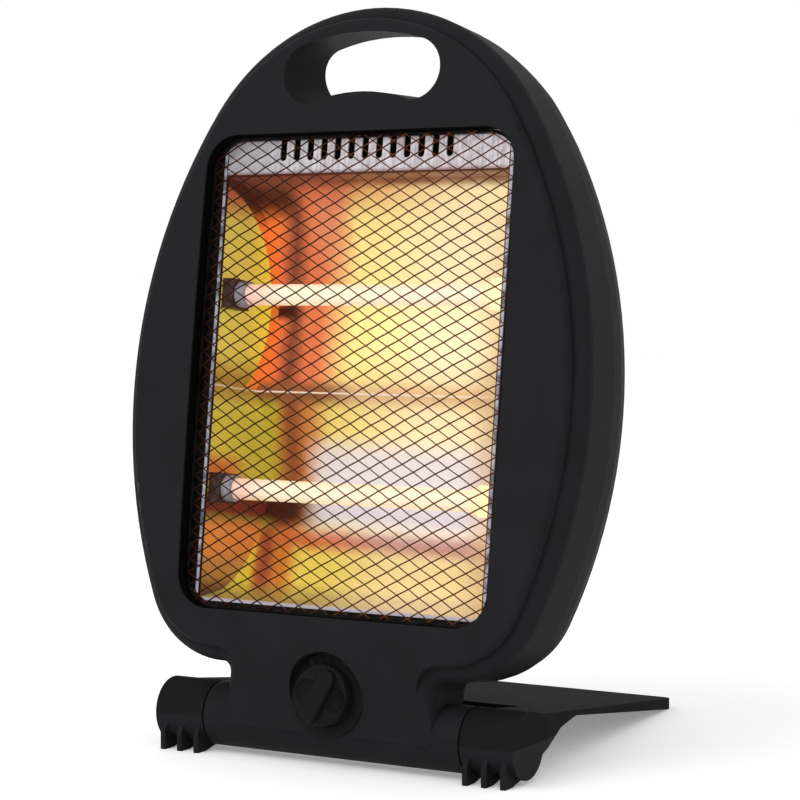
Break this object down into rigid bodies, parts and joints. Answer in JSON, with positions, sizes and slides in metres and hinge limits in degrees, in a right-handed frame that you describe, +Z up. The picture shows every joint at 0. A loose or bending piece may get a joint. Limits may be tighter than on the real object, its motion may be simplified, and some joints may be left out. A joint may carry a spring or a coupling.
{
  "type": "quartz heater",
  "caption": "Free-standing quartz tube heater: egg-shaped black body with a handle hole, wire grille and bright reflector, tilting on a tube hinge over a flat stand plate.",
  "frame": {"origin": "bottom centre of the whole heater's box, on the floor", "axes": "+Z up, +X to the right seen from the front, front towards -Y"},
  "size_m": [0.254, 0.2412, 0.3621],
  "materials": {
    "black_plastic": "satin moulded black",
    "dark_wire": "black painted wire",
    "dark_steel": "heat-darkened steel",
    "polished_aluminium": "bright polished",
    "quartz": "milky fused quartz",
    "coil_wire": "resistance wire",
    "ceramic": "unglazed ceramic",
    "brass": "machined",
    "wire_sleeve": "glass-fibre sleeve",
    "switch_plastic": "black moulded",
    "white_plastic": "white moulded",
    "knob_plastic": "fine matt black",
    "dial_plastic": "matt black with printed marks",
    "nylon": "natural nylon",
    "screw_steel": "zinc plated"
  },
  "bodies": {
    "stand": {"stand_plate": "black_plastic", "foot_left": "black_plastic", "foot_right": "black_plastic", "foot_screws": "screw_steel"},
    "heater": {"front_housing": "black_plastic", "rear_housing": "black_plastic", "grille": "dark_wire", "grille_frame": "dark_steel", "reflector_upper": "polished_aluminium", "reflector_lower": "polished_aluminium", "reflector_end_left": "polished_aluminium", "reflector_end_right": "polished_aluminium", "vent_strip": "polished_aluminium", "quartz_tube_upper": "quartz", "quartz_tube_lower": "quartz", "heating_coil_upper": "coil_wire", "heating_coil_lower": "coil_wire", "ceramic_caps_upper": "ceramic", "ceramic_caps_lower": "ceramic", "terminal_studs": "brass", "tube_clips": "dark_steel", "live_wire_upper": "wire_sleeve", "live_wire_lower": "wire_sleeve", "neutral_wire": "wire_sleeve", "selector_switch": "switch_plastic", "dial_ring": "dial_plastic", "tilt_switch": "switch_plastic", "terminal_block": "white_plastic", "cord_gland": "knob_plastic", "hinge_spigot_left": "nylon", "hinge_spigot_right": "nylon", "housing_screws": "screw_steel", "reflector_screws": "screw_steel", "switch_screws": "screw_steel"},
    "knob": {"control_knob": "knob_plastic", "switch_shaft": "brass"}
  },
  "joints": [
    {"name": "heater_tilt", "type": "hinge", "parent": "stand", "child": "heater", "pos_m": [0, -0.09435, 0.01785], "axis": [1, 0, 0], "range_deg": [-12, 7.4]},
    {"name": "knob_turn", "type": "hinge", "parent": "heater", "child": "knob", "pos_m": [0, -0.11423, 0.03557], "axis": [0, -0.9916, 0.1293], "range_deg": [0, 60]}
  ]
}
